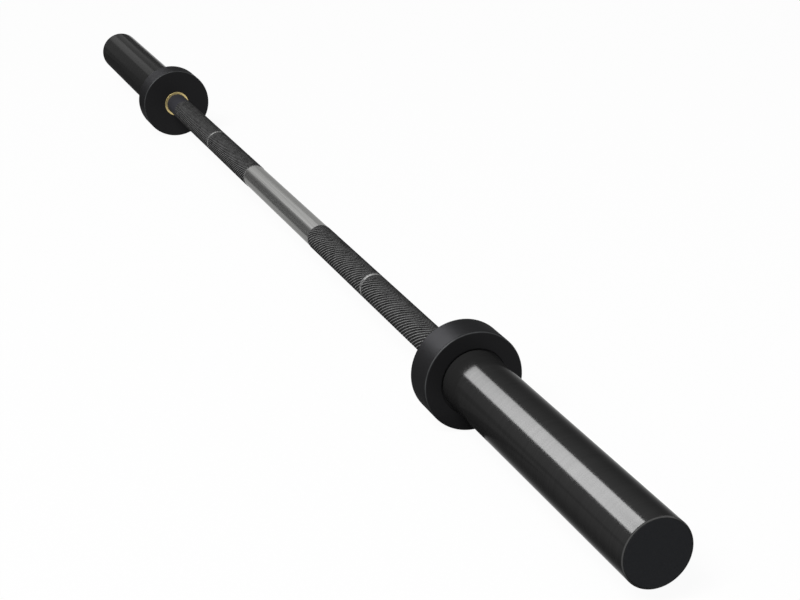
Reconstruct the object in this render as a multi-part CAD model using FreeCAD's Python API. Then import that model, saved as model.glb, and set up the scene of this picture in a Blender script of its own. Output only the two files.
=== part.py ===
import FreeCAD, Part
import math
import os

# Olympic barbell: a knurled steel shaft with a sleeve at each end that spins on two bushings.
# The bar lies along X with its middle at the origin, and +Z is up. The pieces of an end are
# modelled at the +X end and mirrored for the other one. All lengths are in millimetres.

# Lengths along the bar
GRIP_LENGTH = 890.0  # between the inner faces of the collars
COLLAR_THICKNESS = 30.0
LOADING_LENGTH = 285.0  # of a sleeve, from its collar to its end

# Shaft
SHAFT_DIAMETER = 25.0  # over the knurl
KNURL_HEIGHT = 0.3  # of the knurl above the smooth shaft
SMOOTH_CENTRE_LENGTH = 216.0
RING_MARK_SPACING = 508.0  # between the middles of the two ring marks
RING_MARK_WIDTH = 3.5
NECK_LENGTH = 40.0  # of smooth shaft beside each collar
SHOULDER_HEIGHT = 1.2  # from the smooth shaft down to the journal
SHAFT_END_CHAMFER = 1.0
SHAFT_STUB = 4.0  # of shaft beyond the retaining ring

# Fits
RUNNING_CLEARANCE = 0.05  # radial, between a journal and its bushing
SEAT_CLEARANCE = 0.02  # radial, between pieces that are pressed together
WASHER_CLEARANCE = 0.2  # radial, between a washer and the journal inside it
AXIAL_PLAY = 0.2  # of a sleeve, at each of its two thrust faces

# Bushings
BUSHING_WALL = 2.5
FLANGE_HEIGHT = 0.9  # of the inner bushing's flange above its wall
FLANGE_THICKNESS = 1.5
OUTER_BUSHING_LENGTH = 30.0
BUSHING_CHAMFER = 0.5  # on the mouths that the shaft enters by

# Collar
COLLAR_DIAMETER = 80.0
COLLAR_CHAMFER = 1.0  # on both edges of the rim
SLEEVE_SEAT_DEPTH = 10.0  # that the sleeve's spigot goes into the collar
RELIEF_WIDTH = 1.5  # of the groove round the sleeve in the collar's outer face
RELIEF_DEPTH = 1.5  # of that groove, whose floor carries the sleeve's shoulder

# Sleeve tube
SLEEVE_DIAMETER = 50.0
SPIGOT_STEP = 2.0  # from the sleeve's outside down to its spigot in the collar
MOUTH_WALL = 3.5  # round the pocket in the sleeve's end
CAP_LIP = 1.2  # of the sleeve, round the end cap
SLEEVE_CHAMFER_SHARE = 0.8  # of the lip that the sleeve's end chamfer takes

# Washers
INNER_WASHER_THICKNESS = 1.0
THRUST_WASHER_THICKNESS = 2.0
BACKING_WASHER_THICKNESS = 2.5
BACKING_WASHER_MARGIN = 1.5  # between the backing washer's rim and the pocket's wall

# Retaining ring
RING_THICKNESS = 2.0
RING_GROOVE_DEPTH = 1.0
RING_GROOVE_SLACK = 0.15  # that the groove is wider than the ring
RING_BACK_WIDTH = 3.5  # across the ring, opposite its opening
RING_TIP_WIDTH = 2.2  # across the ring, where the ears begin
RING_OPENING = 6.0
RING_EAR_RADIUS = 2.4
RING_EAR_HOLE_DIAMETER = 2.0

# End cap and its seal
CAP_THICKNESS = 4.0
CAP_PLUG_LENGTH = 14.0
CAP_SKIRT_WALL = 6.0
CAP_CHAMFER = 0.3
CAP_LEAD_CHAMFER = 1.0  # on the end of the skirt that goes in first
CAP_END_GAP = 5.0  # between the cap's skirt and the shaft's end
O_RING_SECTION = 2.5
O_RING_SIDE_ROOM = 0.4  # in the groove, on each side of the ring

# Construction
OVERRUN = 1.0  # that a cut goes past the piece it cuts
FULL_TURN = 360.0
ORIGIN = FreeCAD.Vector(0, 0, 0)
BAR_AXIS = FreeCAD.Vector(1, 0, 0)

# Radii that neighbouring pieces share
KNURL_RADIUS = SHAFT_DIAMETER / 2
SMOOTH_RADIUS = KNURL_RADIUS - KNURL_HEIGHT
JOURNAL_RADIUS = SMOOTH_RADIUS - SHOULDER_HEIGHT
RING_GROOVE_RADIUS = JOURNAL_RADIUS - RING_GROOVE_DEPTH
WASHER_BORE_RADIUS = JOURNAL_RADIUS + WASHER_CLEARANCE
BUSHING_BORE_RADIUS = JOURNAL_RADIUS + RUNNING_CLEARANCE
BUSHING_RADIUS = BUSHING_BORE_RADIUS + BUSHING_WALL
BUSHING_SEAT_RADIUS = BUSHING_RADIUS + SEAT_CLEARANCE
SLEEVE_RADIUS = SLEEVE_DIAMETER / 2
SPIGOT_RADIUS = SLEEVE_RADIUS - SPIGOT_STEP
POCKET_RADIUS = SLEEVE_RADIUS - MOUTH_WALL
CAP_SEAT_RADIUS = SLEEVE_RADIUS - CAP_LIP
COLLAR_RADIUS = COLLAR_DIAMETER / 2

# Places along the bar: outwards from the collar, then inwards from the bar's end
COLLAR_INNER_X = GRIP_LENGTH / 2
COLLAR_OUTER_X = COLLAR_INNER_X + COLLAR_THICKNESS
SLEEVE_SEAT_X = COLLAR_OUTER_X - SLEEVE_SEAT_DEPTH
SLEEVE_SHOULDER_X = COLLAR_OUTER_X - RELIEF_DEPTH
BAR_END_X = COLLAR_OUTER_X + LOADING_LENGTH
FLANGE_FACE_X = COLLAR_INNER_X - FLANGE_THICKNESS
INNER_WASHER_FACE_X = FLANGE_FACE_X - AXIAL_PLAY
SHOULDER_X = INNER_WASHER_FACE_X - INNER_WASHER_THICKNESS
CAP_SEAT_X = BAR_END_X - CAP_THICKNESS
PLUG_END_X = CAP_SEAT_X - CAP_PLUG_LENGTH
O_RING_X = (CAP_SEAT_X + PLUG_END_X) / 2
SHAFT_END_X = PLUG_END_X - CAP_END_GAP
RING_OUTER_X = SHAFT_END_X - SHAFT_STUB
RING_INNER_X = RING_OUTER_X - RING_THICKNESS
BACKING_WASHER_X = RING_INNER_X - BACKING_WASHER_THICKNESS
THRUST_FACE_X = BACKING_WASHER_X - AXIAL_PLAY
POCKET_FLOOR_X = THRUST_FACE_X - THRUST_WASHER_THICKNESS


def turned(outline):
    """A solid of revolution about the bar's axis, from its outline of (x, radius) points."""
    points = [FreeCAD.Vector(x, radius, 0) for x, radius in outline]
    wire = Part.makePolygon(points + points[:1])
    return Part.Face(wire).revolve(ORIGIN, BAR_AXIS, FULL_TURN)


def washer(inner_x, thickness, inner_radius, outer_radius):
    """A plain flat ring about the bar's axis."""
    outer_x = inner_x + thickness
    return turned([
        (inner_x, inner_radius),
        (outer_x, inner_radius),
        (outer_x, outer_radius),
        (inner_x, outer_radius),
    ])


def disc(x, thickness, radius, y, z):
    """A round disc square to the bar, with its middle at (y, z)."""
    return Part.makeCylinder(radius, thickness, FreeCAD.Vector(x, y, z), BAR_AXIS)


def shaft():
    """Grip with its knurled bands raised over the smooth ones, journals and ring grooves."""
    mark_inner_x = (RING_MARK_SPACING - RING_MARK_WIDTH) / 2
    mark_outer_x = (RING_MARK_SPACING + RING_MARK_WIDTH) / 2
    smooth_end_x = SMOOTH_CENTRE_LENGTH / 2
    neck_x = COLLAR_INNER_X - NECK_LENGTH
    groove_inner_x = RING_INNER_X - RING_GROOVE_SLACK
    half = [
        (smooth_end_x, SMOOTH_RADIUS),
        (smooth_end_x, KNURL_RADIUS),
        (mark_inner_x, KNURL_RADIUS),
        (mark_inner_x, SMOOTH_RADIUS),
        (mark_outer_x, SMOOTH_RADIUS),
        (mark_outer_x, KNURL_RADIUS),
        (neck_x, KNURL_RADIUS),
        (neck_x, SMOOTH_RADIUS),
        (SHOULDER_X, SMOOTH_RADIUS),
        (SHOULDER_X, JOURNAL_RADIUS),
        (groove_inner_x, JOURNAL_RADIUS),
        (groove_inner_x, RING_GROOVE_RADIUS),
        (RING_OUTER_X, RING_GROOVE_RADIUS),
        (RING_OUTER_X, JOURNAL_RADIUS),
        (SHAFT_END_X - SHAFT_END_CHAMFER, JOURNAL_RADIUS),
        (SHAFT_END_X, JOURNAL_RADIUS - SHAFT_END_CHAMFER),
        (SHAFT_END_X, 0),
    ]
    other_half = [(-x, radius) for x, radius in reversed(half)]
    return turned(other_half + half)


def inner_thrust_washer():
    """Steel washer between the shaft's shoulder and the inner bushing's flange."""
    return washer(SHOULDER_X, INNER_WASHER_THICKNESS, WASHER_BORE_RADIUS, SMOOTH_RADIUS)


def inner_bushing():
    """Bronze bushing through the collar's web, with a flange on the collar's inner face."""
    flange_radius = BUSHING_RADIUS + FLANGE_HEIGHT
    return turned([
        (FLANGE_FACE_X, BUSHING_BORE_RADIUS + BUSHING_CHAMFER),
        (FLANGE_FACE_X + BUSHING_CHAMFER, BUSHING_BORE_RADIUS),
        (SLEEVE_SEAT_X, BUSHING_BORE_RADIUS),
        (SLEEVE_SEAT_X, BUSHING_RADIUS),
        (COLLAR_INNER_X, BUSHING_RADIUS),
        (COLLAR_INNER_X, flange_radius),
        (FLANGE_FACE_X, flange_radius),
    ])


def collar():
    """Thick disc with the bushing's bore in its web and the sleeve's seat in its outer face."""
    seat_radius = SPIGOT_RADIUS + SEAT_CLEARANCE
    relief_radius = SLEEVE_RADIUS + RELIEF_WIDTH
    return turned([
        (COLLAR_INNER_X, BUSHING_SEAT_RADIUS),
        (SLEEVE_SEAT_X, BUSHING_SEAT_RADIUS),
        (SLEEVE_SEAT_X, seat_radius),
        (SLEEVE_SHOULDER_X, seat_radius),
        (SLEEVE_SHOULDER_X, relief_radius),
        (COLLAR_OUTER_X, relief_radius),
        (COLLAR_OUTER_X, COLLAR_RADIUS - COLLAR_CHAMFER),
        (COLLAR_OUTER_X - COLLAR_CHAMFER, COLLAR_RADIUS),
        (COLLAR_INNER_X + COLLAR_CHAMFER, COLLAR_RADIUS),
        (COLLAR_INNER_X, COLLAR_RADIUS - COLLAR_CHAMFER),
    ])


def sleeve_tube():
    """Thick tube that the plates slide on, with a pocket and a cap seat in its end."""
    end_chamfer = CAP_LIP * SLEEVE_CHAMFER_SHARE
    return turned([
        (SLEEVE_SEAT_X, BUSHING_SEAT_RADIUS),
        (POCKET_FLOOR_X, BUSHING_SEAT_RADIUS),
        (POCKET_FLOOR_X, POCKET_RADIUS),
        (CAP_SEAT_X, POCKET_RADIUS),
        (CAP_SEAT_X, CAP_SEAT_RADIUS),
        (BAR_END_X, CAP_SEAT_RADIUS),
        (BAR_END_X, SLEEVE_RADIUS - end_chamfer),
        (BAR_END_X - end_chamfer, SLEEVE_RADIUS),
        (SLEEVE_SHOULDER_X, SLEEVE_RADIUS),
        (SLEEVE_SHOULDER_X, SPIGOT_RADIUS),
        (SLEEVE_SEAT_X, SPIGOT_RADIUS),
    ])


def outer_bushing():
    """Bronze bushing at the outer end of the sleeve's bore, flush with the pocket's floor."""
    inner_x = POCKET_FLOOR_X - OUTER_BUSHING_LENGTH
    return turned([
        (inner_x, BUSHING_BORE_RADIUS + BUSHING_CHAMFER),
        (inner_x + BUSHING_CHAMFER, BUSHING_BORE_RADIUS),
        (POCKET_FLOOR_X, BUSHING_BORE_RADIUS),
        (POCKET_FLOOR_X, BUSHING_RADIUS),
        (inner_x, BUSHING_RADIUS),
    ])


def thrust_washer():
    """Bronze washer that lies on the pocket's floor and turns with the sleeve."""
    rim_radius = POCKET_RADIUS - SEAT_CLEARANCE
    return washer(POCKET_FLOOR_X, THRUST_WASHER_THICKNESS, WASHER_BORE_RADIUS, rim_radius)


def backing_washer():
    """Steel washer between the thrust washer and the retaining ring, still on the shaft."""
    rim_radius = POCKET_RADIUS - BACKING_WASHER_MARGIN
    return washer(BACKING_WASHER_X, BACKING_WASHER_THICKNESS, WASHER_BORE_RADIUS, rim_radius)


def retaining_ring():
    """Open spring ring in the shaft's groove, widest at its back, with two holed ears."""
    bore_radius = RING_GROOVE_RADIUS + SEAT_CLEARANCE
    rim_radius = bore_radius + (RING_BACK_WIDTH + RING_TIP_WIDTH) / 2
    rim_z = (RING_TIP_WIDTH - RING_BACK_WIDTH) / 2
    ear_y = RING_OPENING / 2 + RING_EAR_RADIUS
    ear_z = math.sqrt((bore_radius + RING_EAR_RADIUS) ** 2 - ear_y ** 2)
    opening_height = rim_radius + 2 * RING_EAR_RADIUS
    cut_x = RING_INNER_X - OVERRUN
    cut_thickness = RING_THICKNESS + 2 * OVERRUN
    opening_corner = FreeCAD.Vector(cut_x, -RING_OPENING / 2, 0)

    ring = disc(RING_INNER_X, RING_THICKNESS, rim_radius, 0, rim_z)
    cuts = [
        disc(cut_x, cut_thickness, bore_radius, 0, 0),
        Part.makeBox(cut_thickness, RING_OPENING, opening_height, opening_corner),
    ]
    for y in (-ear_y, ear_y):
        ring = ring.fuse(disc(RING_INNER_X, RING_THICKNESS, RING_EAR_RADIUS, y, ear_z))
        cuts.append(disc(cut_x, cut_thickness, RING_EAR_HOLE_DIAMETER / 2, y, ear_z))
    return ring.cut(cuts).removeSplitter()


def end_cap():
    """Turned cap that fills the sleeve's mouth, with a grooved skirt inside the pocket."""
    face_radius = CAP_SEAT_RADIUS - SEAT_CLEARANCE
    skirt_radius = POCKET_RADIUS - SEAT_CLEARANCE
    hollow_radius = POCKET_RADIUS - CAP_SKIRT_WALL
    groove_radius = POCKET_RADIUS - O_RING_SECTION - 2 * SEAT_CLEARANCE
    groove_half_width = O_RING_SECTION / 2 + O_RING_SIDE_ROOM
    groove_inner_x = O_RING_X - groove_half_width
    groove_outer_x = O_RING_X + groove_half_width
    return turned([
        (BAR_END_X, 0),
        (BAR_END_X, face_radius - CAP_CHAMFER),
        (BAR_END_X - CAP_CHAMFER, face_radius),
        (CAP_SEAT_X, face_radius),
        (CAP_SEAT_X, skirt_radius),
        (groove_outer_x, skirt_radius),
        (groove_outer_x, groove_radius),
        (groove_inner_x, groove_radius),
        (groove_inner_x, skirt_radius),
        (PLUG_END_X + CAP_LEAD_CHAMFER, skirt_radius),
        (PLUG_END_X, skirt_radius - CAP_LEAD_CHAMFER),
        (PLUG_END_X, hollow_radius),
        (CAP_SEAT_X, hollow_radius),
        (CAP_SEAT_X, 0),
    ])


def cap_o_ring():
    """Rubber ring that seals and holds the cap in the sleeve's mouth."""
    section_radius = O_RING_SECTION / 2
    ring_radius = POCKET_RADIUS - SEAT_CLEARANCE - section_radius
    middle = FreeCAD.Vector(O_RING_X, 0, 0)
    return Part.makeTorus(ring_radius, section_radius, middle, BAR_AXIS)


def write(node, shape):
    """Writes one piece, which has to be a single closed solid, to its STEP file."""
    if len(shape.Solids) != 1 or not shape.isValid() or shape.Solids[0].Volume <= 0:
        raise ValueError(node + " is not one sound solid")
    shape.Solids[0].exportStep(os.path.join("parts", node + ".step"))


END_PIECES = (
    inner_thrust_washer,
    inner_bushing,
    collar,
    sleeve_tube,
    outer_bushing,
    thrust_washer,
    backing_washer,
    retaining_ring,
    end_cap,
    cap_o_ring,
)

os.makedirs("parts", exist_ok=True)
write("shaft", shaft())
for make_piece in END_PIECES:
    piece = make_piece()
    write("right_" + make_piece.__name__, piece)
    write("left_" + make_piece.__name__, piece.mirror(ORIGIN, BAR_AXIS))
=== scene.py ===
import math

import bmesh
import bpy
from bpy.props import FloatProperty, FloatVectorProperty, IntProperty, PointerProperty
from bpy.types import NodeSocket, Operator, Panel, PropertyGroup
from mathutils import Matrix, Quaternion, Vector


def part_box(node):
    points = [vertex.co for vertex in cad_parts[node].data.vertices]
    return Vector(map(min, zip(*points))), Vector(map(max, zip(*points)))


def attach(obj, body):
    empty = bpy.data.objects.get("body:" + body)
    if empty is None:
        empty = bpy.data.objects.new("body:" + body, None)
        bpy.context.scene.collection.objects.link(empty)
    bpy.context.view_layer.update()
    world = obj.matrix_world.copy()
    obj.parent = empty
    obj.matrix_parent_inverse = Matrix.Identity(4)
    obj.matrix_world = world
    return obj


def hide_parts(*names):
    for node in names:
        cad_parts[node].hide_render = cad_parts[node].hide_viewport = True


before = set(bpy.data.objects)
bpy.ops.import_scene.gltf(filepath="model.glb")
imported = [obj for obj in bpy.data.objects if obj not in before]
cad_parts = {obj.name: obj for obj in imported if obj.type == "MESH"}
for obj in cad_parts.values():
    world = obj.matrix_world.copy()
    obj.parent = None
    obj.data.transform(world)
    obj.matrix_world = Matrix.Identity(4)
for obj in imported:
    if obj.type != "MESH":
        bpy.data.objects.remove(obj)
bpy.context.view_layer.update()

# Olympic barbell: a steel shaft with a knurled grip, and at each end a black sleeve with a stop
# collar that spins on bronze bushings. The bar lies along X with its middle at the origin and +Z
# up. The pieces of an end are drawn for the +X end, and a side of -1 mirrors them to the other.

bl_info = {
    "name": "Olympic Barbell",
    "version": (1, 0, 0),
    "blender": (4, 5, 0),
    "location": "3D View > Sidebar > Barbell",
    "description": "Models a barbell's visible pieces and finishes on its packed frame, and a studio",
    "category": "Object",
}

SIDES = {"left": -1, "right": 1}
BAR_AXIS = (1.0, 0.0, 0.0)
ORIGIN = (0.0, 0.0, 0.0)
WHITE = (1.0, 1.0, 1.0, 1.0)
MM_PER_METRE = 1000.0
MERGE_DISTANCE = 1e-6
SHARP_ANGLE = math.radians(25)
SENSOR_WIDTH = 36.0
CLIP_START, CLIP_END = 0.05, 200.0

# How a sheet of the studio is turned: upright and square to the bar, or flat on the floor.
UPRIGHT = Matrix.Rotation(math.radians(90), 3, "Z") @ Matrix.Rotation(math.radians(90), 3, "X")
FLAT = Matrix.Identity(3)

# The range that noise seldom leaves, how far the painted highlight band round an edge reaches as a share of
# the edge's bevel, and how much of white a studio cloth's mottle has.
NOISE_LOW, NOISE_HIGH = 0.3, 0.7
EDGE_HIGHLIGHT_REACH = 0.65
MOTTLE = 0.1


def place(piece):
    """Where the +X end's piece starts and ends along the bar, and its radius, in metres."""
    low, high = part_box("right_" + piece)
    return low.x, high.x, high.y


COLLAR_INNER, COLLAR_OUTER, COLLAR_RADIUS = place("collar")
SLEEVE_SEAT, BAR_END, SLEEVE_RADIUS = place("sleeve_tube")
PLUG_END, _, CAP_RADIUS = place("end_cap")
FLANGE_FACE, _, FLANGE_RADIUS = place("inner_bushing")
POCKET_FLOOR, _, POCKET_RADIUS = place("thrust_washer")
_, _, BUSHING_RADIUS = place("outer_bushing")
SHAFT_SHOULDER, _, SMOOTH_RADIUS = place("inner_thrust_washer")
RING_INNER, RING_OUTER, _ = place("retaining_ring")
SEAL_INNER, SEAL_OUTER, _ = place("cap_o_ring")
SHAFT_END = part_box("shaft")[1].x
KNURL_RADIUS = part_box("shaft")[1].y


def linear(hex_colour):
    """A linear RGBA colour from an sRGB hex value such as 1F2022."""
    shares = [int(hex_colour[i:i + 2], 16) / 255 for i in (0, 2, 4)]
    return tuple(s / 12.92 if s <= 0.04045 else ((s + 0.055) / 1.055) ** 2.4 for s in shares) + (1.0,)


# A dark metal film mirrors little at a slant, so a black piece stays black up to its outline.
DARK_EDGED = {"Specular IOR Level": 0.0, "Specular Tint": linear("AEAEAE")}


def length(name, description, default):
    """A property that holds a length in metres."""
    return FloatProperty(
        name=name, description=description, default=default, min=0.0, precision=5, unit="LENGTH"
    )


def spot(name, description, default):
    """A property that holds a point in metres."""
    return FloatVectorProperty(
        name=name, description=description, default=default, subtype="TRANSLATION", unit="LENGTH"
    )


def colour(name, description, hex_colour):
    """A property that holds a colour."""
    return FloatVectorProperty(
        name=name, description=description, default=linear(hex_colour),
        size=4, min=0.0, max=1.0, subtype="COLOR",
    )


def share(name, description, default):
    """A property that holds a share from 0 to 1."""
    return FloatProperty(
        name=name, description=description, default=default, min=0.0, max=1.0, subtype="FACTOR"
    )


def watts(name, description, default):
    """A property that holds a lamp's power."""
    return FloatProperty(name=name, description=description, default=default, min=0.0, unit="POWER")


class BarbellSizes(PropertyGroup):
    """Sizes of the bar's visible forms."""

    steps: IntProperty(
        name="Steps", description="Faces round a turned piece", default=96, min=24, max=256
    )
    edge_round: length("Edge Round", "Rounding of the collars' and bushings' edges", 0.0003)
    fine_round: length("Fine Round", "Rounding of the sleeves' and caps' edges", 0.0001)
    smooth_centre: length("Smooth Centre", "Length of bare shaft in the middle", 0.216)
    mark_spacing: length("Mark Spacing", "Distance between the middles of the ring marks", 0.508)
    mark_width: length("Mark Width", "Width of a ring mark", 0.0035)
    neck_length: length("Neck Length", "Smooth shaft beside each collar", 0.04)
    band_chamfer: length("Band Chamfer", "Bevel at the ends of the smooth bands", 0.0003)
    diamonds_around: IntProperty(
        name="Diamonds Around", description="Knurl diamonds round the shaft", default=26, min=12, max=64
    )
    diamond_length: length("Diamond Length", "Length of a knurl diamond along the shaft", 0.005)
    knurl_depth: length("Knurl Depth", "From a diamond's crest down to the grooves", 0.0005)
    crest_share: share("Crest Share", "Share of a diamond that its flat crest takes", 0.76)
    crest_reach: share("Crest Reach", "How far a crest reaches over the shallower grooves, of its side", 0.14)
    journal_step: length("Journal Step", "From the smooth shaft down to the journal", 0.0012)
    ring_groove_depth: length("Ring Groove Depth", "Depth of the retaining ring's groove", 0.001)
    shaft_chamfer: length("Shaft Chamfer", "Bevel on the shaft's ends", 0.001)
    running_clearance: length("Running Clearance", "Radial room between a journal and a bushing", 0.00005)
    seat_clearance: length("Seat Clearance", "Radial room between pressed pieces", 0.00002)
    bushing_chamfer: length("Bushing Chamfer", "Bevel in a bushing's mouth", 0.0005)
    collar_chamfer: length("Collar Chamfer", "Bevel on both edges of a collar's rim", 0.001)
    relief: length("Relief", "Width and depth of the groove round the sleeve in the collar's face", 0.0015)
    spigot_step: length("Spigot Step", "From the sleeve's outside down to its spigot", 0.002)
    sleeve_chamfer: length("Sleeve Chamfer", "Bevel on a sleeve's end", 0.00096)
    cap_thickness: length("Cap Thickness", "Thickness of an end cap's face", 0.004)
    cap_chamfer: length("Cap Chamfer", "Bevel round an end cap's face", 0.0003)
    skirt_wall: length("Skirt Wall", "Wall of the end cap's skirt", 0.006)
    skirt_lead: length("Skirt Lead", "Bevel on the skirt's first end", 0.001)
    seal_section: length("Seal Section", "Thickness of the cap's rubber ring", 0.0025)
    seal_room: length("Seal Room", "Room in the groove on each side of the ring", 0.0004)
    floor_gap: length("Floor Gap", "Room between the collars and the floor", 0.0002)


class BarbellColours(PropertyGroup):
    """Colours of the bar's finishes."""

    chrome: colour("Chrome", "Polished centre of the shaft", "9F9F9E")
    chrome_line: colour("Chrome Line", "Polishing lines in the chrome", "8E8E8D")
    chrome_edge: colour("Chrome Edge", "Tint of the chrome seen at a slant", "BABAB9")
    # The mark colours are a lighter copy of the chrome, a painted highlight on the ring marks and the
    # polished centre's end chamfers.
    mark: colour("Mark", "Bright ring marks and ends of the polished centre", "B2B2B1")
    painted_highlight_mark_line: colour("Mark Line", "Polishing lines in the ring marks", "A6A6A5")
    # The groove colour is a painted highlight: the pale grooves draw light lines round the grip.
    groove: colour("Groove", "Burnished flanks of the knurl's grooves", "B4B4B4")
    crest: colour("Crest", "Black oxide on the knurl's crests", "1E1E1E")
    neck: colour("Neck", "Oiled black oxide on the smooth necks", "3F3F44")
    neck_line: colour("Neck Line", "Turning lines in the necks", "47474C")
    sleeve: colour("Sleeve", "Black chrome of the sleeves", "252525")
    sleeve_line: colour("Sleeve Line", "Turning lines in the black chrome", "282828")
    # The sleeve's edge colour is a painted edge highlight round the end chamfer.
    painted_sleeve_edge_highlight: colour("Sleeve Edge", "Rubbed chrome on the sleeves' end edges", "3D3D3D")
    collar: colour("Collar", "Black powder of the collars", "272728")
    # The collar's edge colour is a painted edge highlight along both edges of the rim.
    painted_collar_edge_highlight: colour("Collar Edge", "Rubbed powder on the collars' edges", "4C4D4E")
    cap: colour("Cap", "Black dye of the end caps", "292A2C")
    cap_grain: colour("Cap Grain", "Blasted grain of the end caps", "2F3032")
    bronze: colour("Bronze", "Pressed bronze of the bushings", "EAD9A0")
    bronze_pore: colour("Bronze Pore", "Oil in the pores of the bronze", "B89F62")
    steel: colour("Steel", "Ground steel of washers and rings", "A9A9A8")
    steel_line: colour("Steel Line", "Grinding lines in the steel", "868685")
    rubber: colour("Rubber", "Nitrile rubber of the caps' seals", "141414")
    rubber_bloom: colour("Rubber Bloom", "Pale bloom on the rubber", "222221")
    floor: colour("Floor", "White paper under the bar", "F4F4F4")
    floor_bounce: colour("Floor Bounce", "Paper as it lights the bar from below", "8A8A8A")
    card: colour("Card", "Grey card that the bare steel mirrors", "ACACAC")
    mat: colour("Mat", "Darker grey felt of the mat and the flag, which the bar mirrors", "848484")
    # The black cloth is a dark sheet, seen only in the bar's gloss, that stands in for the shade on the floor
    # under sleeve and collar.
    cloth: colour("Cloth", "Black cloth that keeps the undersides of sleeve and collar dark", "181818")


class BarbellStudio(PropertyGroup):
    """Camera, floor, lights and the cards that the bar mirrors."""

    camera_place: spot("Camera Place", "Where the camera stands", (1.580053, -0.480767, 0.514538))
    camera_turn: FloatVectorProperty(
        name="Camera Turn", description="Where the camera points",
        default=(math.radians(69.54567), 0.0, math.radians(69.14565)), subtype="EULER", unit="ROTATION",
    )
    lens: FloatProperty(
        name="Lens", description="Focal length on a sensor 36 mm wide", default=78.1648, unit="CAMERA"
    )
    floor_size: length("Floor Size", "Side of the square floor", 60.0)
    floor_glow: share("Floor Glow", "Share of pure white in the floor as the camera sees it", 0.95)
    key_place: spot("Key Place", "Middle of the soft box that lights the bar", (2.6, -3.0, 4.35))
    key_aim: spot("Key Aim", "Point that the soft box faces", ORIGIN)
    key_width: length("Key Width", "Side of the soft box along the bar", 2.5)
    key_height: length("Key Height", "Side of the soft box across the bar", 2.5)
    key_power: watts("Key Power", "Power of the soft box", 300.0)
    sleeve_key_power: watts("Sleeve Key Power", "Power that the soft box adds on the sleeves", 720.0)
    strip_place: spot("Strip Place", "Middle of the light that shows along the sleeves", (-4.85, -1.56, 3.19))
    strip_aim: spot("Strip Aim", "Point that the strip light faces", (-4.85, 0.0, 0.0))
    strip_width: length("Strip Width", "Side of the strip light along the bar", 3.1)
    strip_height: length("Strip Height", "Side of the strip light across the bar", 3.3)
    strip_roll: FloatProperty(
        name="Strip Roll", description="Turn of the strip light in its own plane",
        default=math.radians(-6.0), unit="ROTATION",
    )
    strip_power: watts("Strip Power", "Power of the strip light", 1300.0)
    far_place: spot("Far Strip Place", "Middle of the strip light for the far sleeve", (-12.0, -0.9, 3.43))
    far_aim: spot("Far Strip Aim", "Point that the far strip light faces", (-12.0, 0.0, 0.0))
    far_width: length("Far Strip Width", "Side of the far strip light along the bar", 3.0)
    far_height: length("Far Strip Height", "Side of the far strip light across the bar", 2.6)
    far_power: watts("Far Strip Power", "Power of the far strip light", 100.0)
    back_place: spot("Back Strip Place", "Middle of the strip light behind the bar", (0.0, 3.0, 3.0))
    back_aim: spot("Back Strip Aim", "Point that the back strip light faces", ORIGIN)
    back_width: length("Back Strip Width", "Side of the back strip light along the bar", 3.4)
    back_height: length("Back Strip Height", "Side of the back strip light across the bar", 2.4)
    back_power: watts("Back Strip Power", "Power of the back strip light", 230.0)
    board_place: spot("Board Place", "Middle of the pale board above the grip", (-8.2, -0.25, 3.54))
    board_aim: spot("Board Aim", "Point that the pale board faces", (-8.2, 0.0, 0.0))
    board_width: length("Board Width", "Side of the pale board along the bar", 4.2)
    board_height: length("Board Height", "Side of the pale board across the bar", 4.8)
    board_power: watts("Board Power", "Power of the light that the pale board gives back", 38.0)
    fill_left: FloatProperty(
        name="Fill Left", description="Strength of the even light from the camera's left",
        default=0.42, min=0.0,
    )
    fill_right: FloatProperty(
        name="Fill Right", description="Strength of the even light from the camera's right",
        default=0.02, min=0.0,
    )
    card_place: spot("Card Place", "Middle of the upright grey card", (-4.5, -2.03, 0.8))
    card_width: length("Card Width", "Width of the upright card", 1.55)
    card_height: length("Card Height", "Height of the upright card", 1.6)
    mat_place: spot("Mat Place", "Middle of the grey mat beside the bar", (-2.1, -1.19, -0.039))
    mat_length: length("Mat Length", "Side of the mat along the bar", 4.8)
    mat_width: length("Mat Width", "Side of the mat across the bar", 2.22)
    flag_place: spot("Flag Place", "Middle of the upright grey flag", (-3.0, 0.69, 0.25))
    flag_width: length("Flag Width", "Width of the upright flag", 0.38)
    flag_height: length("Flag Height", "Height of the upright flag", 0.58)
    far_cloth_place: spot(
        "Far Cloth Place", "Middle of the cloth under the far sleeve", (-0.8, -0.05, -0.039)
    )
    far_cloth_length: length("Far Cloth Length", "Side of that cloth along the bar", 0.44)
    near_cloth_place: spot(
        "Near Cloth Place", "Middle of the cloth by the near collar", (0.475, -0.05, -0.039)
    )
    near_cloth_length: length("Near Cloth Length", "Side of that cloth along the bar", 0.06)
    cloth_width: length("Cloth Width", "Side of both cloths across the bar", 0.16)


def add_node(tree, kind, inputs=None, **settings):
    """A new node with its settings, and its inputs set to values or linked to other nodes' outputs."""
    node = tree.nodes.new(kind)
    for name, value in settings.items():
        setattr(node, name, value)
    for name, value in (inputs or {}).items():
        if isinstance(value, NodeSocket):
            tree.links.new(value, node.inputs[name])
        else:
            node.inputs[name].default_value = value
    return node


def new_finish(name):
    """A material of that name with an empty node tree, and the tree."""
    finish = bpy.data.materials.get(name) or bpy.data.materials.new(name)
    finish.use_nodes = True
    finish.node_tree.nodes.clear()
    return finish, finish.node_tree


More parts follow.
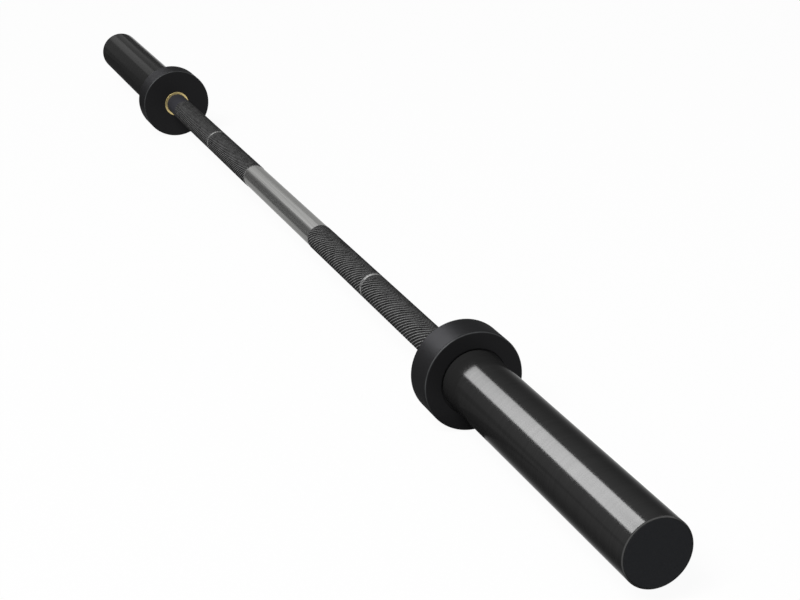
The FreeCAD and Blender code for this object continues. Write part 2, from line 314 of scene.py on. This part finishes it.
def grain(tree, along, across):
    """Noise from 0 to 1 with grains of this many millimetres along the bar and across it."""
    coords = add_node(tree, "ShaderNodeTexCoord")
    scaled = add_node(tree, "ShaderNodeMapping", {
        "Vector": coords.outputs["Object"],
        "Scale": (MM_PER_METRE / along, MM_PER_METRE / across, MM_PER_METRE / across),
    })
    noise = add_node(tree, "ShaderNodeTexNoise", {
        "Vector": scaled.outputs["Vector"], "Scale": 1.0, "Detail": 2.0,
    })
    stretched = add_node(tree, "ShaderNodeMapRange", {
        "Value": noise.outputs["Fac"], "From Min": NOISE_LOW, "From Max": NOISE_HIGH,
    })
    return stretched.outputs["Result"]


def edge_band(tree, x, radius, reach):
    """1 within a third of the reach from the circle of that radius at x and -x, and 0 past the reach."""
    coords = add_node(tree, "ShaderNodeTexCoord")
    parts = add_node(tree, "ShaderNodeSeparateXYZ", {"Vector": coords.outputs["Object"]})
    along = add_node(tree, "ShaderNodeMath", {0: parts.outputs["X"]}, operation="ABSOLUTE")
    across = add_node(tree, "ShaderNodeVectorMath", {
        0: coords.outputs["Object"], 1: (0.0, 1.0, 1.0),
    }, operation="MULTIPLY")
    from_axis = add_node(tree, "ShaderNodeVectorMath", {0: across.outputs["Vector"]}, operation="LENGTH")
    section = add_node(tree, "ShaderNodeCombineXYZ", {
        "X": along.outputs["Value"], "Y": from_axis.outputs["Value"],
    })
    away = add_node(tree, "ShaderNodeVectorMath", {
        0: section.outputs["Vector"], 1: (x, radius, 0.0),
    }, operation="DISTANCE")
    band = add_node(tree, "ShaderNodeMapRange", {
        "Value": away.outputs["Value"], "From Min": reach, "From Max": reach / 3,
    }, interpolation_type="SMOOTHSTEP")
    return band.outputs["Result"]


def dress(tree, base, pattern, roughness, bump, inputs=None):
    """Ends a finish with its shader. The pattern sets a (first, last) roughness and a bump in metres."""
    gloss = add_node(tree, "ShaderNodeMapRange", {
        "Value": pattern, "To Min": roughness[0], "To Max": roughness[1],
    })
    relief = add_node(tree, "ShaderNodeBump", {"Height": pattern, "Strength": 1.0, "Distance": bump})
    shader = add_node(tree, "ShaderNodeBsdfPrincipled", {
        "Base Color": base,
        "Roughness": gloss.outputs["Result"],
        "Normal": relief.outputs["Normal"],
        **(inputs or {}),
    })
    add_node(tree, "ShaderNodeOutputMaterial", {"Surface": shader.outputs["BSDF"]})


def polished_chrome(name, dull, bright, edge):
    # Hard chrome on a ground shaft, polished along the bar: a grey mirror with lengthwise lines
    # that streak what it shows. The lines are 0.1 mm wide and are drawn 0.9 mm wide, to show.
    finish, tree = new_finish(name)
    lines = grain(tree, along=160.0, across=0.9)
    base = add_node(tree, "ShaderNodeMix", {"Factor": lines, "A": dull, "B": bright}, data_type="RGBA")
    dress(
        tree, base.outputs["Result"], lines, roughness=(0.25, 0.19), bump=2e-7,
        inputs={"Metallic": 1.0, "Specular Tint": edge},
    )
    return finish


def knurled_steel(colours):
    # Rolled knurl under black oxide: dull near-black crests with uneven wear. The grooves and their flanks
    # are painted pale, a painted highlight that draws light lines round the bar. A real knurl's diamonds are
    # 1.2 mm wide; they are drawn 2.9 mm wide, to show.
    finish, tree = new_finish("black_oxide_knurled_steel")
    crest = add_node(tree, "ShaderNodeAttribute", attribute_name="crest")
    patches = add_node(tree, "ShaderNodeMapRange", {
        "Value": grain(tree, along=9.0, across=6.0), "To Min": 0.93, "To Max": 1.0,
    })
    mix_share = add_node(tree, "ShaderNodeMath", {
        0: crest.outputs["Fac"], 1: patches.outputs["Result"],
    }, operation="MULTIPLY")
    # Painted highlight: the grooves and flanks take the pale groove colour, and the crests the black oxide.
    base = add_node(tree, "ShaderNodeMix", {
        "Factor": mix_share.outputs["Value"], "A": colours.groove, "B": colours.crest,
    }, data_type="RGBA")
    pits = grain(tree, along=0.5, across=0.5)
    dress(
        tree, base.outputs["Result"], pits, roughness=(0.5, 0.65), bump=2e-6,
        inputs={"Metallic": 0.15, **DARK_EDGED},
    )
    return finish


def turned_neck(colours):
    # Turned steel under oiled black oxide: a smooth, cool near-black, with rings from the lathe that
    # barely show. The rings are 0.1 mm apart and are drawn 0.8 mm apart, to show.
    finish, tree = new_finish("black_oxide_turned_steel")
    rings = grain(tree, along=0.8, across=20.0)
    base = add_node(tree, "ShaderNodeMix", {
        "Factor": rings, "A": colours.neck, "B": colours.neck_line,
    }, data_type="RGBA")
    dress(
        tree, base.outputs["Result"], rings, roughness=(0.35, 0.45), bump=1e-6,
        inputs={"Metallic": 0.3, **DARK_EDGED},
    )
    return finish


def black_chromed_sleeve(colours, sizes):
    # Black chrome over turned steel: a deep black film that mirrors lights sharply, and rings from the lathe
    # that barely show. A paler band round the end edge is a painted edge highlight on the chamfer. The rings
    # are 0.2 mm apart and are drawn 1.2 mm apart, to show.
    finish, tree = new_finish("black_chromed_steel")
    rings = grain(tree, along=1.2, across=60.0)
    body = add_node(tree, "ShaderNodeMix", {
        "Factor": rings, "A": colours.sleeve, "B": colours.sleeve_line,
    }, data_type="RGBA")
    middle = sizes.sleeve_chamfer / 2
    # Painted edge highlight: a paler band round the middle of the end chamfer.
    mix_share = edge_band(tree, BAR_END - middle, SLEEVE_RADIUS - middle, EDGE_HIGHLIGHT_REACH * sizes.sleeve_chamfer)
    base = add_node(tree, "ShaderNodeMix", {
        "Factor": mix_share, "A": body.outputs["Result"], "B": colours.painted_sleeve_edge_highlight,
    }, data_type="RGBA")
    dress(
        tree, base.outputs["Result"], rings, roughness=(0.135, 0.155), bump=1e-7,
        inputs={"Metallic": 0.65, **DARK_EDGED},
    )
    return finish


def powder_coated_collar(colours, sizes):
    # Baked powder coat: an even satin black with a fine pebble. Both edges of the rim are painted paler in
    # patches, a painted edge highlight. The pebble is 0.3 mm and is drawn at 0.8 mm, to show.
    finish, tree = new_finish("satin_black_powder_coat")
    pebble = grain(tree, along=0.8, across=0.8)
    # Painted edge highlight: paler bands round both edges of the rim, uneven in patches.
    reach = EDGE_HIGHLIGHT_REACH * sizes.collar_chamfer
    middle = sizes.collar_chamfer / 2
    outer = edge_band(tree, COLLAR_OUTER - middle, COLLAR_RADIUS - middle, reach)
    inner = edge_band(tree, COLLAR_INNER + middle, COLLAR_RADIUS - middle, reach)
    edges = add_node(tree, "ShaderNodeMath", {0: outer, 1: inner}, operation="MAXIMUM")
    patches = add_node(tree, "ShaderNodeMapRange", {
        "Value": grain(tree, along=12.0, across=12.0), "To Min": 0.5, "To Max": 1.0,
    })
    mix_share = add_node(tree, "ShaderNodeMath", {
        0: edges.outputs["Value"], 1: patches.outputs["Result"],
    }, operation="MULTIPLY")
    base = add_node(tree, "ShaderNodeMix", {
        "Factor": mix_share.outputs["Value"], "A": colours.collar, "B": colours.painted_collar_edge_highlight,
    }, data_type="RGBA")
    dress(
        tree, base.outputs["Result"], pebble, roughness=(0.38, 0.46), bump=2e-6,
        inputs={"Metallic": 0.3, **DARK_EDGED},
    )
    return finish


def anodised_cap(colours):
    # Bead-blasted aluminium, anodised and dyed black: a cool flat black with a fine even grain.
    # The grain is 0.1 mm and is drawn at 0.6 mm, to show.
    finish, tree = new_finish("black_anodised_aluminium")
    blast = grain(tree, along=0.6, across=0.6)
    base = add_node(tree, "ShaderNodeMix", {
        "Factor": blast, "A": colours.cap, "B": colours.cap_grain,
    }, data_type="RGBA")
    dress(
        tree, base.outputs["Result"], blast, roughness=(0.38, 0.48), bump=1e-6,
        inputs={"Metallic": 0.2, **DARK_EDGED},
    )
    return finish


def sintered_bronze(colours):
    # Pressed and sintered bronze powder, soaked in oil: a dull pale gold, speckled with dark pores.
    # The pores are 0.05 mm and are drawn at 0.5 mm, to show.
    finish, tree = new_finish("oil_filled_sintered_bronze")
    pores = grain(tree, along=0.5, across=0.5)
    base = add_node(tree, "ShaderNodeMix", {
        "Factor": pores, "A": colours.bronze_pore, "B": colours.bronze,
    }, data_type="RGBA")
    dress(
        tree, base.outputs["Result"], pores, roughness=(0.42, 0.28), bump=2e-6,
        inputs={"Metallic": 1.0},
    )
    return finish


def ground_steel(colours):
    # Ground spring and washer steel: bright grey, with rings round the bar from the wheel.
    # The rings are 0.05 mm apart and are drawn 0.4 mm apart, to show.
    finish, tree = new_finish("ground_steel")
    rings = grain(tree, along=0.4, across=5.0)
    base = add_node(tree, "ShaderNodeMix", {
        "Factor": rings, "A": colours.steel_line, "B": colours.steel,
    }, data_type="RGBA")
    dress(
        tree, base.outputs["Result"], rings, roughness=(0.35, 0.25), bump=1e-6,
        inputs={"Metallic": 1.0},
    )
    return finish


def nitrile_rubber(colours):
    # Moulded nitrile: matt black with a patchy pale bloom, as smooth as its mould.
    finish, tree = new_finish("moulded_nitrile_rubber")
    bloom = grain(tree, along=3.0, across=3.0)
    base = add_node(tree, "ShaderNodeMix", {
        "Factor": bloom, "A": colours.rubber, "B": colours.rubber_bloom,
    }, data_type="RGBA")
    dress(tree, base.outputs["Result"], bloom, roughness=(0.55, 0.7), bump=2e-6)
    return finish


def add_piece(name, bm, finishes, body, node):
    """A finished piece from its mesh, which rides on a body and stands for a CAD node."""
    mesh = bpy.data.meshes.new(name)
    bm.to_mesh(mesh)
    bm.free()
    for finish in finishes:
        mesh.materials.append(finish)
    piece = bpy.data.objects.new(name, mesh)
    bpy.context.scene.collection.objects.link(piece)
    piece.modifiers.new("Flat Faces", "WEIGHTED_NORMAL")
    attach(piece, body)
    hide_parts(node)


def turn(outline, side, steps, closed=True):
    """A mesh turned about the bar from its outline of (x, radius) points, on the bar's given side."""
    bm = bmesh.new()
    corners = [bm.verts.new((side * x, 0.0, radius)) for x, radius in outline]
    ends = corners + corners[:1] if closed else corners
    edges = [bm.edges.new(pair) for pair in zip(ends, ends[1:])]
    bmesh.ops.spin(
        bm, geom=corners + edges, cent=ORIGIN, axis=BAR_AXIS, angle=math.tau, steps=steps, use_merge=True
    )
    bmesh.ops.remove_doubles(bm, verts=bm.verts, dist=MERGE_DISTANCE)
    bmesh.ops.recalc_face_normals(bm, faces=bm.faces)
    shade_smooth(bm)
    return bm


def shade_smooth(bm):
    """Shades every face of a mesh smooth."""
    for face in bm.faces:
        face.smooth = True


def round_edges(bm, radius):
    """Rounds every sharp edge of a turned mesh."""
    sharp = [edge for edge in bm.edges if edge.calc_face_angle(0.0) > SHARP_ANGLE]
    bmesh.ops.bevel(
        bm, geom=sharp, offset=radius, affect="EDGES", segments=3, profile=0.5, material=-1,
        clamp_overlap=True,
    )
    shade_smooth(bm)


def between(face, start, end):
    """Whether a face lies between two distances from the bar's middle, at either end."""
    return start < abs(face.calc_center_median().x) < end


def knurl(bm, start, end, sizes, crest):
    """Rolls raised diamonds, cut in half at the ends, between two distances from the bar's middle."""
    rows = round((end - start) / sizes.diamond_length)
    row_length = (end - start) / rows
    valley = KNURL_RADIUS - sizes.knurl_depth
    lengthwise = [
        edge for edge in bm.edges
        if abs(edge.calc_length() - (end - start)) < MERGE_DISTANCE
        and all(start - MERGE_DISTANCE < abs(vert.co.x) < end + MERGE_DISTANCE for vert in edge.verts)
    ]
    bmesh.ops.subdivide_edges(bm, edges=lengthwise, cuts=rows - 1, use_grid_fill=True)

    grid = {face for face in bm.faces if between(face, start, end)}
    inside = [edge for edge in bm.edges if edge.link_faces and all(face in grid for face in edge.link_faces)]
    centres = bmesh.ops.poke(bm, faces=list(grid), center_mode="MEAN_WEIGHTED")["verts"]
    for vert in centres:
        vert.co.yz = vert.co.yz.normalized() * valley
    bmesh.ops.dissolve_edges(bm, edges=inside, use_verts=False)

    diamonds = [face for face in bm.faces if between(face, start, end)]
    width = math.tau * valley / sizes.diamonds_around
    inner_radius = width * row_length / (2 * math.hypot(width, row_length))
    bmesh.ops.inset_individual(
        bm, faces=diamonds, thickness=inner_radius * (1 - sizes.crest_share), depth=sizes.knurl_depth,
        use_even_offset=True,
    )
    # The sides of one hand are lengthened, so the crests reach over the other hand's grooves.
    for face in diamonds:
        for edge in face.edges:
            first, second = edge.verts
            run = second.co - first.co
            if run.x * (first.co.y * run.z - first.co.z * run.y) < 0:
                first.co -= run * sizes.crest_reach
                second.co += run * sizes.crest_reach
        for vert in face.verts:
            vert[crest] = 1.0
    for face in bm.faces:
        if between(face, start, end):
            face.smooth = False


class BARBELL_OT_shaft(Operator):
    """Turn the shaft with its smooth bands and journals, and knurl its grip"""

    bl_idname = "barbell.shaft"
    bl_label = "Shaft"

    def execute(self, context):
        sizes = context.scene.barbell_sizes
        colours = context.scene.barbell_colours
        valley = KNURL_RADIUS - sizes.knurl_depth
        journal = SMOOTH_RADIUS - sizes.journal_step
        groove = journal - sizes.ring_groove_depth
        chamfer = sizes.band_chamfer
        centre = sizes.smooth_centre / 2
        mark_inner = (sizes.mark_spacing - sizes.mark_width) / 2
        mark_outer = (sizes.mark_spacing + sizes.mark_width) / 2
        neck = COLLAR_INNER - sizes.neck_length
        half = [
            (0.0, SMOOTH_RADIUS),
            (centre - chamfer, SMOOTH_RADIUS),
            (centre, valley),
            (mark_inner, valley),
            (mark_inner + chamfer, SMOOTH_RADIUS),
            (mark_outer - chamfer, SMOOTH_RADIUS),
            (mark_outer, valley),
            (neck, valley),
            (neck + chamfer, SMOOTH_RADIUS),
            (SHAFT_SHOULDER, SMOOTH_RADIUS),
            (SHAFT_SHOULDER, journal),
            (RING_INNER, journal),
            (RING_INNER, groove),
            (RING_OUTER, groove),
            (RING_OUTER, journal),
            (SHAFT_END - sizes.shaft_chamfer, journal),
            (SHAFT_END, journal - sizes.shaft_chamfer),
            (SHAFT_END, 0.0),
        ]
        outline = [(-x, radius) for x, radius in reversed(half[1:])] + half

        bm = turn(outline, 1, sizes.diamonds_around, closed=False)
        crest = bm.verts.layers.float.new("crest")
        knurl(bm, centre, mark_inner, sizes, crest)
        knurl(bm, mark_outer, neck, sizes, crest)
        for face in bm.faces:
            x = abs(face.calc_center_median().x)
            if x < centre - chamfer or x > SHAFT_SHOULDER - MERGE_DISTANCE:
                face.material_index = 0
            # Painted highlight: the ring marks and the centre's end chamfers take the lighter copy of the
            # chrome.
            elif x < centre or mark_inner < x < mark_outer:
                face.material_index = 1
            elif x < neck:
                face.material_index = 2
            else:
                face.material_index = 3
        edge = colours.chrome_edge
        finishes = [
            polished_chrome("polished_hard_chrome", colours.chrome_line, colours.chrome, edge),
            polished_chrome("highlight_painted_chrome", colours.painted_highlight_mark_line, colours.mark, edge),
            knurled_steel(colours),
            turned_neck(colours),
        ]
        add_piece("barbell_shaft", bm, finishes, "shaft", "shaft")
        return {"FINISHED"}


class BARBELL_OT_collars(Operator):
    """Turn the two stop collars"""

    bl_idname = "barbell.collars"
    bl_label = "Collars"

    def execute(self, context):
        sizes = context.scene.barbell_sizes
        finish = powder_coated_collar(context.scene.barbell_colours, sizes)
        chamfer = sizes.collar_chamfer
        bore = BUSHING_RADIUS + sizes.seat_clearance
        seat = SLEEVE_RADIUS - sizes.spigot_step + sizes.seat_clearance
        groove = SLEEVE_RADIUS + sizes.relief
        shoulder = COLLAR_OUTER - sizes.relief
        outline = [
            (COLLAR_INNER, bore),
            (SLEEVE_SEAT, bore),
            (SLEEVE_SEAT, seat),
            (shoulder, seat),
            (shoulder, groove),
            (COLLAR_OUTER, groove),
            (COLLAR_OUTER, COLLAR_RADIUS - chamfer),
            (COLLAR_OUTER - chamfer, COLLAR_RADIUS),
            (COLLAR_INNER + chamfer, COLLAR_RADIUS),
            (COLLAR_INNER, COLLAR_RADIUS - chamfer),
        ]
        for end, side in SIDES.items():
            bm = turn(outline, side, sizes.steps)
            round_edges(bm, sizes.edge_round)
            add_piece(end + "_stop_collar", bm, [finish], end + "_sleeve", end + "_collar")
        return {"FINISHED"}


class BARBELL_OT_sleeves(Operator):
    """Turn the two sleeves that the plates slide on"""

    bl_idname = "barbell.sleeves"
    bl_label = "Sleeves"

    def execute(self, context):
        sizes = context.scene.barbell_sizes
        finish = black_chromed_sleeve(context.scene.barbell_colours, sizes)
        chamfer = sizes.sleeve_chamfer
        bore = BUSHING_RADIUS + sizes.seat_clearance
        pocket = POCKET_RADIUS + sizes.seat_clearance
        mouth = CAP_RADIUS + sizes.seat_clearance
        spigot = SLEEVE_RADIUS - sizes.spigot_step
        cap_seat = BAR_END - sizes.cap_thickness
        shoulder = COLLAR_OUTER - sizes.relief
        outline = [
            (SLEEVE_SEAT, bore),
            (POCKET_FLOOR, bore),
            (POCKET_FLOOR, pocket),
            (cap_seat, pocket),
            (cap_seat, mouth),
            (BAR_END, mouth),
            (BAR_END, SLEEVE_RADIUS - chamfer),
            (BAR_END - chamfer, SLEEVE_RADIUS),
            (shoulder, SLEEVE_RADIUS),
            (shoulder, spigot),
            (SLEEVE_SEAT, spigot),
        ]
        for end, side in SIDES.items():
            bm = turn(outline, side, sizes.steps)
            round_edges(bm, sizes.fine_round)
            add_piece(
                end + "_plate_sleeve", bm, [finish], end + "_sleeve", end + "_sleeve_tube"
            )
        return {"FINISHED"}


class BARBELL_OT_end_caps(Operator):
    """Turn the two caps that close the sleeves' ends"""

    bl_idname = "barbell.end_caps"
    bl_label = "End Caps"

    def execute(self, context):
        sizes = context.scene.barbell_sizes
        finish = anodised_cap(context.scene.barbell_colours)
        cap_seat = BAR_END - sizes.cap_thickness
        groove = POCKET_RADIUS - sizes.seal_section - sizes.seat_clearance
        hollow = POCKET_RADIUS - sizes.skirt_wall
        outline = [
            (BAR_END, 0.0),
            (BAR_END, CAP_RADIUS - sizes.cap_chamfer),
            (BAR_END - sizes.cap_chamfer, CAP_RADIUS),
            (cap_seat, CAP_RADIUS),
            (cap_seat, POCKET_RADIUS),
            (SEAL_OUTER + sizes.seal_room, POCKET_RADIUS),
            (SEAL_OUTER + sizes.seal_room, groove),
            (SEAL_INNER - sizes.seal_room, groove),
            (SEAL_INNER - sizes.seal_room, POCKET_RADIUS),
            (PLUG_END + sizes.skirt_lead, POCKET_RADIUS),
            (PLUG_END, POCKET_RADIUS - sizes.skirt_lead),
            (PLUG_END, hollow),
            (cap_seat, hollow),
            (cap_seat, 0.0),
        ]
        for end, side in SIDES.items():
            bm = turn(outline, side, sizes.steps, closed=False)
            round_edges(bm, sizes.fine_round)
            add_piece(end + "_sleeve_cap", bm, [finish], end + "_sleeve", end + "_end_cap")
        return {"FINISHED"}


class BARBELL_OT_bushings(Operator):
    """Turn the flanged bronze bushings that show on the collars' inner faces"""

    bl_idname = "barbell.bushings"
    bl_label = "Flanged Bushings"

    def execute(self, context):
        sizes = context.scene.barbell_sizes
        finish = sintered_bronze(context.scene.barbell_colours)
        bore = SMOOTH_RADIUS - sizes.journal_step + sizes.running_clearance
        outline = [
            (FLANGE_FACE, bore + sizes.bushing_chamfer),
            (FLANGE_FACE + sizes.bushing_chamfer, bore),
            (SLEEVE_SEAT, bore),
            (SLEEVE_SEAT, BUSHING_RADIUS),
            (COLLAR_INNER, BUSHING_RADIUS),
            (COLLAR_INNER, FLANGE_RADIUS),
            (FLANGE_FACE, FLANGE_RADIUS),
        ]
        for end, side in SIDES.items():
            bm = turn(outline, side, sizes.steps)
            round_edges(bm, sizes.edge_round)
            add_piece(
                end + "_flanged_bushing", bm, [finish],
                end + "_sleeve", end + "_inner_bushing",
            )
        return {"FINISHED"}


class BARBELL_OT_fittings(Operator):
    """Give the washers, rings and seals inside the sleeves their finishes"""

    bl_idname = "barbell.fittings"
    bl_label = "Inner Fittings"

    def execute(self, context):
        colours = context.scene.barbell_colours
        steel = ground_steel(colours)
        bronze = sintered_bronze(colours)
        rubber = nitrile_rubber(colours)
        finishes = {
            "inner_thrust_washer": steel,
            "backing_washer": steel,
            "retaining_ring": steel,
            "outer_bushing": bronze,
            "thrust_washer": bronze,
            "cap_o_ring": rubber,
        }
        for end in SIDES:
            for fitting, finish in finishes.items():
                for material_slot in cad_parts[end + "_" + fitting].material_slots:
                    material_slot.material = finish
        return {"FINISHED"}


def seen_directly(tree):
    """1 for what the camera sees, also by reflection or through glass, and 0 for other light."""
    path = add_node(tree, "ShaderNodeLightPath")
    mirrored = add_node(tree, "ShaderNodeMath", {
        0: path.outputs["Is Glossy Ray"], 1: path.outputs["Is Transmission Ray"],
    }, operation="MAXIMUM")
    seen = add_node(tree, "ShaderNodeMath", {
        0: path.outputs["Is Camera Ray"], 1: mirrored.outputs["Value"],
    }, operation="MAXIMUM")
    return seen.outputs["Value"]


def white_paper(colours, glow_share):
    # Seamless white paper: flat and matt, with fibres that hardly show. Most of what the camera sees
    # of it is pure white, and the rest is lit, so that the bar's soft shadow stays. It lights the bar
    # from below only a little.
    finish, tree = new_finish("white_paper")
    seen = seen_directly(tree)
    sheet = add_node(tree, "ShaderNodeMix", {
        "Factor": grain(tree, along=4.0, across=4.0), "A": colours.floor, "B": WHITE,
    }, data_type="RGBA")
    lit = add_node(tree, "ShaderNodeMix", {
        "Factor": seen, "A": colours.floor_bounce, "B": sheet.outputs["Result"],
    }, data_type="RGBA")
    matt = add_node(tree, "ShaderNodeBsdfDiffuse", {"Color": lit.outputs["Result"]})
    glow = add_node(tree, "ShaderNodeEmission", {"Color": WHITE, "Strength": 1.0})
    part = add_node(tree, "ShaderNodeMath", {0: seen, 1: glow_share}, operation="MULTIPLY")
    mixed = add_node(tree, "ShaderNodeMixShader", {
        0: part.outputs["Value"], 1: matt.outputs["BSDF"], 2: glow.outputs["Emission"],
    })
    add_node(tree, "ShaderNodeOutputMaterial", {"Surface": mixed.outputs["Shader"]})
    return finish


def studio_cloth(name, shade):
    # Matt card or felt that the bar mirrors: dull, with a faint mottle 8 mm wide.
    finish, tree = new_finish(name)
    mottle = grain(tree, along=8.0, across=8.0)
    pale = tuple((1.0 - MOTTLE) * part + MOTTLE for part in shade)
    base = add_node(tree, "ShaderNodeMix", {"Factor": mottle, "A": shade, "B": pale}, data_type="RGBA")
    dress(tree, base.outputs["Result"], mottle, roughness=(0.85, 0.95), bump=5e-6)
    return finish


def add_sheet(name, width, height, turned, centre, finish):
    """A flat sheet of the studio, which is no part of the bar."""
    bm = bmesh.new()
    bmesh.ops.create_grid(bm, x_segments=1, y_segments=1, size=0.5)
    bmesh.ops.scale(bm, verts=bm.verts, vec=(width, height, 1.0))
    bmesh.ops.rotate(bm, verts=bm.verts, cent=ORIGIN, matrix=turned)
    bmesh.ops.translate(bm, verts=bm.verts, vec=centre)
    mesh = bpy.data.meshes.new(name)
    bm.to_mesh(mesh)
    bm.free()
    mesh.materials.append(finish)
    sheet = bpy.data.objects.new(name, mesh)
    bpy.context.scene.collection.objects.link(sheet)
    return sheet


class BARBELL_OT_studio(Operator):
    """Set the camera, the white floor, the soft lights and the cards that the bar mirrors"""

    bl_idname = "barbell.studio"
    bl_label = "Studio"

    def execute(self, context):
        scene = context.scene
        studio = scene.barbell_studio
        scene.view_settings.view_transform = "Standard"
        self.set_camera(scene, studio)
        self.light_world(scene, studio)
        self.hang_light(
            scene, "key_softbox", studio.key_place, studio.key_aim,
            studio.key_width, studio.key_height, studio.key_power,
        )
        sleeve_key = self.hang_light(
            scene, "sleeve_softbox", studio.key_place, studio.key_aim,
            studio.key_width, studio.key_height, studio.sleeve_key_power,
        )
        sleeve_key.visible_glossy = False
        strip = self.hang_light(
            scene, "strip_light", studio.strip_place, studio.strip_aim,
            studio.strip_width, studio.strip_height, studio.strip_power, studio.strip_roll,
        )
        board = self.hang_light(
            scene, "pale_board", studio.board_place, studio.board_aim,
            studio.board_width, studio.board_height, studio.board_power,
        )
        far_strip = self.hang_light(
            scene, "far_strip_light", studio.far_place, studio.far_aim,
            studio.far_width, studio.far_height, studio.far_power,
        )
        back_strip = self.hang_light(
            scene, "back_strip_light", studio.back_place, studio.back_aim,
            studio.back_width, studio.back_height, studio.back_power,
        )
        # The strips show in the ends' pieces alone, so the grip stays out of their light. The sleeves'
        # dark film gets more of the soft box, which lessens the grain in the strip that it mirrors.
        ends = bpy.data.collections.new("sleeve_ends")
        sleeves = bpy.data.collections.new("sleeves")
        for end in SIDES:
            sleeves.objects.link(bpy.data.objects[end + "_plate_sleeve"])
            for piece in ("_plate_sleeve", "_stop_collar", "_sleeve_cap"):
                ends.objects.link(bpy.data.objects[end + piece])
        linked = ((strip, ends), (far_strip, ends), (back_strip, sleeves), (sleeve_key, sleeves))
        for light, receivers in linked:
            light.light_linking.receiver_collection = receivers
        for light in (strip, far_strip, back_strip, board):
            light.visible_diffuse = False
        self.lay_sheets(scene, studio)
        return {"FINISHED"}

    def set_camera(self, scene, studio):
        """Sets up the camera at the photograph's viewing angle."""
        camera = bpy.data.objects.new("studio_camera", bpy.data.cameras.new("studio_camera"))
        camera.data.sensor_fit = "HORIZONTAL"
        camera.data.sensor_width = SENSOR_WIDTH
        camera.data.lens = studio.lens
        camera.data.clip_start = CLIP_START
        camera.data.clip_end = CLIP_END
        camera.location = studio.camera_place
        camera.rotation_euler = studio.camera_turn
        scene.collection.objects.link(camera)
        scene.camera = camera

    def light_world(self, scene, studio):
        """Lights the scene softly from all sides, most from the left, and shows white behind it."""
        world = bpy.data.worlds.new("studio_world")
        world.use_nodes = True
        tree = world.node_tree
        tree.nodes.clear()
        coords = add_node(tree, "ShaderNodeTexCoord")
        parts = add_node(tree, "ShaderNodeSeparateXYZ", {"Vector": coords.outputs["Generated"]})
        level = add_node(tree, "ShaderNodeMapRange", {
            "Value": parts.outputs["Y"], "From Min": -1.0, "From Max": 1.0,
            "To Min": studio.fill_left, "To Max": studio.fill_right,
        })
        fill = add_node(tree, "ShaderNodeBackground", {"Color": WHITE, "Strength": level.outputs["Result"]})
        white = add_node(tree, "ShaderNodeBackground", {"Color": WHITE, "Strength": 1.0})
        mixed = add_node(tree, "ShaderNodeMixShader", {
            0: seen_directly(tree), 1: fill.outputs["Background"], 2: white.outputs["Background"],
        })
        add_node(tree, "ShaderNodeOutputWorld", {"Surface": mixed.outputs["Shader"]})
        scene.world = world

    def hang_light(self, scene, name, centre, aim, width, height, power, roll=0.0):
        """A rectangular soft light, hidden from the camera, that faces a point."""
        lamp = bpy.data.lights.new(name, "AREA")
        lamp.shape = "RECTANGLE"
        lamp.size = width
        lamp.size_y = height
        lamp.energy = power
        light = bpy.data.objects.new(name, lamp)
        towards = Vector(aim) - Vector(centre)
        light.location = centre
        turned = towards.to_track_quat("-Z", "Y") @ Quaternion((0.0, 0.0, 1.0), roll)
        light.rotation_euler = turned.to_euler()
        light.visible_camera = False
        scene.collection.objects.link(light)
        return light

    def lay_sheets(self, scene, studio):
        """Lays the floor, and sets up the cards and cloths that only show in the bar's gloss."""
        colours = scene.barbell_colours
        floor_place = (0.0, 0.0, -COLLAR_RADIUS - scene.barbell_sizes.floor_gap)
        paper = white_paper(colours, studio.floor_glow)
        add_sheet("studio_floor", studio.floor_size, studio.floor_size, FLAT, floor_place, paper)
        grey = studio_cloth("matt_grey_card", colours.card)
        dim = studio_cloth("matt_grey_felt", colours.mat)
        black = studio_cloth("shade_black_felt", colours.cloth)
        width = studio.cloth_width
        mirrored = (
            ("grey_card", studio.card_width, studio.card_height, UPRIGHT, studio.card_place, grey),
            ("grey_mat", studio.mat_length, studio.mat_width, FLAT, studio.mat_place, dim),
            ("grey_flag", studio.flag_width, studio.flag_height, UPRIGHT, studio.flag_place, dim),
            # The two black cloths stand in for the shade on the floor under the far sleeve and by the near
            # collar, as the bar mirrors it.
            ("far_cloth", studio.far_cloth_length, width, FLAT, studio.far_cloth_place, black),
            ("near_cloth", studio.near_cloth_length, width, FLAT, studio.near_cloth_place, black),
        )
        for card in mirrored:
            sheet = add_sheet(*card)
            sheet.visible_camera = False
            sheet.visible_shadow = False
            sheet.visible_diffuse = False


class BARBELL_PT_pieces(Panel):
    """Lists the barbell's pieces and its studio"""

    bl_idname = "BARBELL_PT_pieces"
    bl_label = "Olympic Barbell"
    bl_space_type = "VIEW_3D"
    bl_region_type = "UI"
    bl_category = "Barbell"

    def draw(self, context):
        for operator in OPERATORS:
            self.layout.operator(operator.bl_idname)


OPERATORS = (
    BARBELL_OT_shaft,
    BARBELL_OT_collars,
    BARBELL_OT_sleeves,
    BARBELL_OT_end_caps,
    BARBELL_OT_bushings,
    BARBELL_OT_fittings,
    BARBELL_OT_studio,
)
CLASSES = (BarbellSizes, BarbellColours, BarbellStudio) + OPERATORS + (BARBELL_PT_pieces,)


def register():
    for cls in CLASSES:
        bpy.utils.register_class(cls)
    bpy.types.Scene.barbell_sizes = PointerProperty(type=BarbellSizes)
    bpy.types.Scene.barbell_colours = PointerProperty(type=BarbellColours)
    bpy.types.Scene.barbell_studio = PointerProperty(type=BarbellStudio)


def unregister():
    del bpy.types.Scene.barbell_studio
    del bpy.types.Scene.barbell_colours
    del bpy.types.Scene.barbell_sizes
    for cls in reversed(CLASSES):
        bpy.utils.unregister_class(cls)


def main():
    register()
    bpy.ops.barbell.shaft()
    bpy.ops.barbell.collars()
    bpy.ops.barbell.sleeves()
    bpy.ops.barbell.end_caps()
    bpy.ops.barbell.bushings()
    bpy.ops.barbell.fittings()
    bpy.ops.barbell.studio()


if __name__ == "__main__":
    main()
